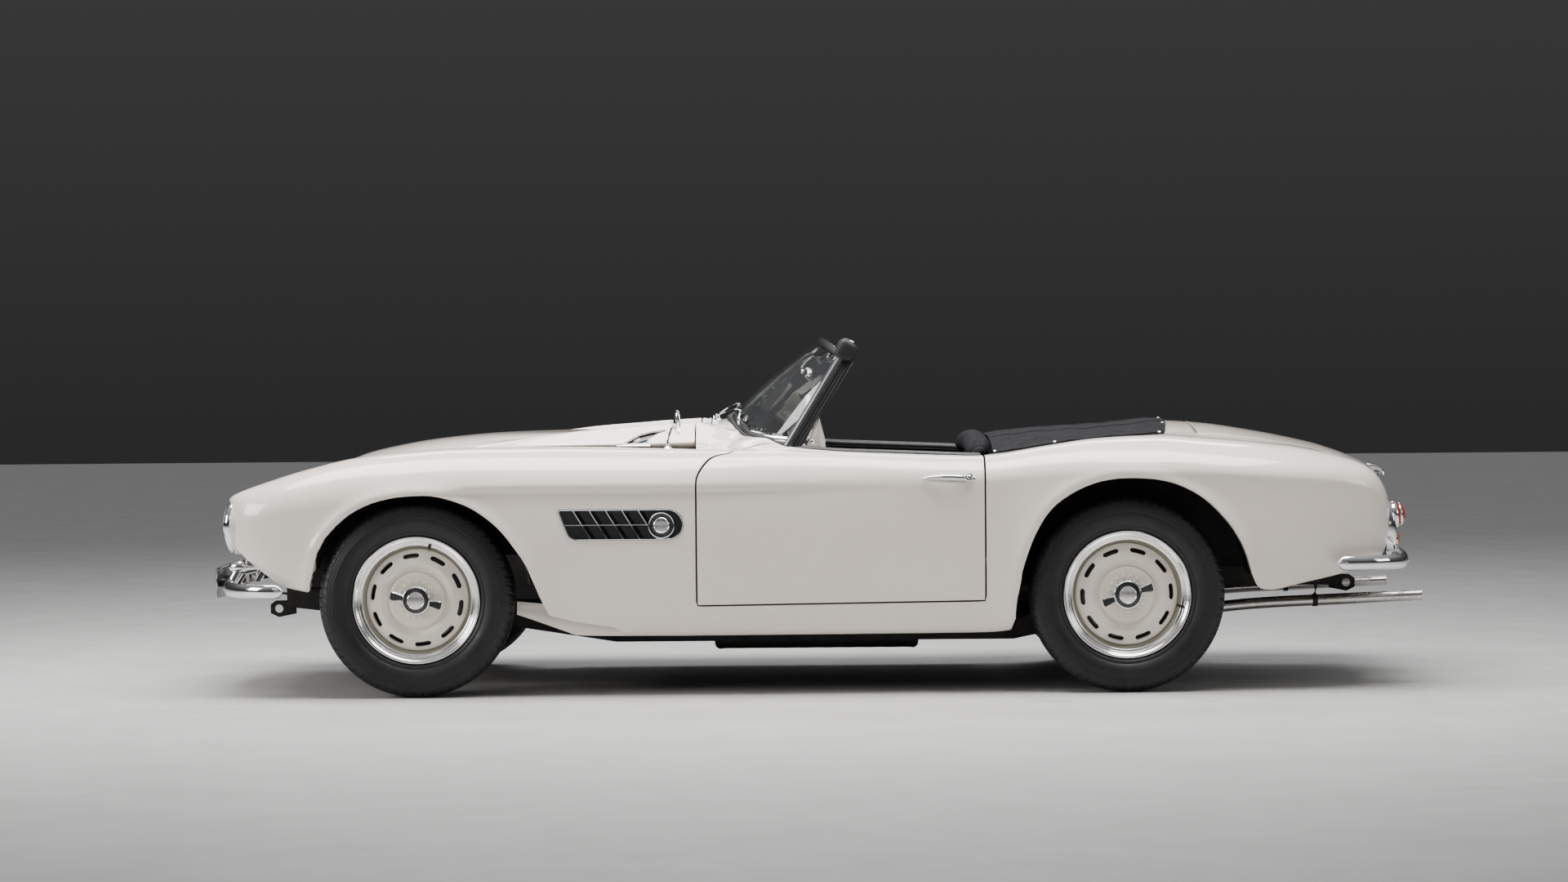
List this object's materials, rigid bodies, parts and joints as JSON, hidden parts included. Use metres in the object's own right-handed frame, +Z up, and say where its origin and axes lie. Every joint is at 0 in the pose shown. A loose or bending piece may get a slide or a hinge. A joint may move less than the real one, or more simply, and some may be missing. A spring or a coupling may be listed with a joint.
{
  "type": "roadster convertible",
  "caption": "Open two-seat sports car with opening doors, front-hinged bonnet, boot lid, steered front wheels and a covered folded top; it rolls on wheels.",
  "frame": {"origin": "on the ground under the middle of the overall length and width", "axes": "+X towards the rear of the car, -Y its left side, +Z up"},
  "size_m": [4.379, 1.6942, 1.2463],
  "materials": {
    "body_paint": "gloss ivory",
    "wheel_paint": "gloss ivory",
    "frame_paint": "satin black",
    "column_paint": "gloss black",
    "plate_paint": "plain, blank",
    "bright_chrome": "polished",
    "engine_metal": "as cast",
    "brake_iron": "as cast",
    "exhaust_steel": "brushed",
    "tyre_rubber": "matt",
    "ivory_rim": "gloss",
    "lamp_glass": "clear, fluted",
    "red_lens": "clear red",
    "clear_glass": "clear",
    "seat_leather": "soft sheen",
    "dash_leather": "soft sheen",
    "black_cloth": "coated cloth",
    "carpet": "cut pile",
    "boot_lining": "felt"
  },
  "bodies": {
    "body": {"boot_floor": "boot_lining", "cowl": "body_paint", "dashboard": "dash_leather", "engine_block": "engine_metal", "exhaust_pipes": "exhaust_steel", "firewall": "frame_paint", "floor_pan": "carpet", "frame_crossmembers": "frame_paint", "frame_rails_front": "frame_paint", "frame_rails_middle": "frame_paint", "frame_rails_rear": "frame_paint", "front_bumper": "bright_chrome", "front_suspension_arms": "frame_paint", "front_wheel_housings": "frame_paint", "front_wing_left": "body_paint", "front_wing_right": "body_paint", "gearbox_and_propshaft": "engine_metal", "grille": "bright_chrome", "headlamps": "lamp_glass", "nose_panel": "body_paint", "number_plates": "plate_paint", "rear_axle": "brake_iron", "rear_bulkhead": "carpet", "rear_bumper": "bright_chrome", "rear_deck": "body_paint", "rear_wheel_housings": "frame_paint", "rear_wing_left": "body_paint", "rear_wing_right": "body_paint", "seats": "seat_leather", "side_vents": "bright_chrome", "sills": "body_paint", "steering_column": "column_paint", "tail_lamps": "red_lens", "tail_panel": "body_paint", "tonneau_cover": "black_cloth", "windscreen_frame": "bright_chrome", "windscreen_glass": "clear_glass", "wing_mirror": "bright_chrome", "wipers": "bright_chrome"},
    "bonnet": {"bonnet": "body_paint"},
    "boot_lid": {"boot_lid": "body_paint"},
    "door_left": {"door_left": "body_paint", "door_handle_left": "bright_chrome"},
    "door_right": {"door_right": "body_paint", "door_handle_right": "bright_chrome"},
    "steering_wheel": {"steering_wheel": "ivory_rim"},
    "knuckle_left": {"knuckle_left": "brake_iron"},
    "knuckle_right": {"knuckle_right": "brake_iron"},
    "wheel_front_left": {"wheel_front_left": "wheel_paint", "tyre_front_left": "tyre_rubber"},
    "wheel_front_right": {"wheel_front_right": "wheel_paint", "tyre_front_right": "tyre_rubber"},
    "wheel_rear_left": {"wheel_rear_left": "wheel_paint", "tyre_rear_left": "tyre_rubber"},
    "wheel_rear_right": {"wheel_rear_right": "wheel_paint", "tyre_rear_right": "tyre_rubber"}
  },
  "joints": [
    {"name": "bonnet_hinge", "type": "hinge", "parent": "body", "child": "bonnet", "pos_m": [-1.979, 0, 0.676], "axis": [0, -1, 0], "range_deg": [0, 50]},
    {"name": "boot_lid_hinge", "type": "hinge", "parent": "body", "child": "boot_lid", "pos_m": [1.38, 0, 0.9225], "axis": [0, -1, 0], "range_deg": [0, 65]},
    {"name": "door_left_hinge", "type": "hinge", "parent": "body", "child": "door_left", "pos_m": [-0.365, -0.8, 0.55], "axis": [0, 0, -1], "range_deg": [0, 65]},
    {"name": "door_right_hinge", "type": "hinge", "parent": "body", "child": "door_right", "pos_m": [-0.365, 0.8, 0.55], "axis": [0, 0, 1], "range_deg": [0, 65]},
    {"name": "steer_left", "type": "hinge", "parent": "body", "child": "knuckle_left", "pos_m": [-1.38, -0.655, 0.342], "axis": [0, 0, 1], "range_deg": [-30, 30]},
    {"name": "steer_right", "type": "hinge", "parent": "body", "child": "knuckle_right", "pos_m": [-1.38, 0.655, 0.342], "axis": [0, 0, 1], "range_deg": [-30, 30]},
    {"name": "steering_wheel_turn", "type": "hinge", "parent": "body", "child": "steering_wheel", "pos_m": [0.032, -0.36, 0.845], "axis": [0.9781, 0, 0.2079], "range_deg": [-500, 500]},
    {"name": "wheel_front_left_spin", "type": "hinge", "parent": "knuckle_left", "child": "wheel_front_left", "pos_m": [-1.38, -0.7225, 0.342], "axis": [0, 1, 0], "continuous": true},
    {"name": "wheel_front_right_spin", "type": "hinge", "parent": "knuckle_right", "child": "wheel_front_right", "pos_m": [-1.38, 0.7225, 0.342], "axis": [0, 1, 0], "continuous": true},
    {"name": "wheel_rear_left_spin", "type": "hinge", "parent": "body", "child": "wheel_rear_left", "pos_m": [1.1, -0.7125, 0.342], "axis": [0, 1, 0], "continuous": true},
    {"name": "wheel_rear_right_spin", "type": "hinge", "parent": "body", "child": "wheel_rear_right", "pos_m": [1.1, 0.7125, 0.342], "axis": [0, 1, 0], "continuous": true}
  ],
  "couplings": [
    {"joint": "steer_right", "follows": "steer_left", "ratio": 1},
    {"joint": "steering_wheel_turn", "follows": "steer_left", "ratio": 16}
  ]
}
